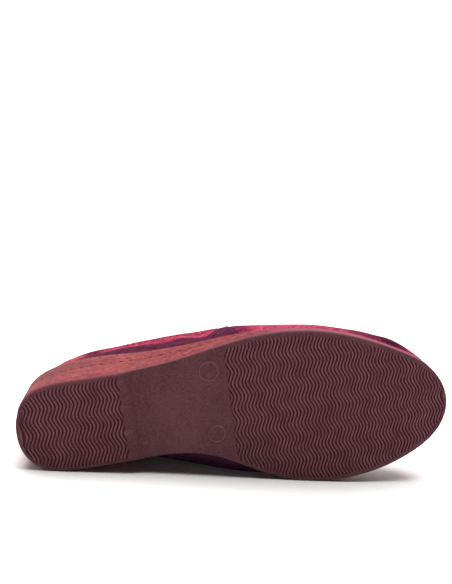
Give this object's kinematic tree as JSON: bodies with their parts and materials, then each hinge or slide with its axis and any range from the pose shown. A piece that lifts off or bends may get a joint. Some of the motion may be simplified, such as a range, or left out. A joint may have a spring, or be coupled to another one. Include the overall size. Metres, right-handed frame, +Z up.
{
  "type": "wedge slipper",
  "caption": "Right-foot wedge house slipper lying on its inner side: rubber outsole with heel and forefoot pads, wrapped wedge, soft plaid velour upper open at the collar, and sock insole.",
  "frame": {"origin": "on the floor under the middle of the shoe's box, where the shoe lies on its inner side", "axes": "+X from heel to toe, -Y the way the sole faces, +Z up, towards the shoe's outer side"},
  "size_m": [0.2526, 0.0788, 0.0885],
  "materials": {
    "outsole_rubber": "matte moulded burgundy rubber",
    "wedge_cover": "brick red suede-like cover with a row of stitches",
    "upper_velour": "short pile velour, crimson and plum plaid",
    "insole_cloth": "plain brushed lining cloth"
  },
  "bodies": {
    "root": {"outsole": "outsole_rubber", "wedge": "wedge_cover", "upper": "upper_velour", "insole": "insole_cloth"}
  },
  "joints": []
}
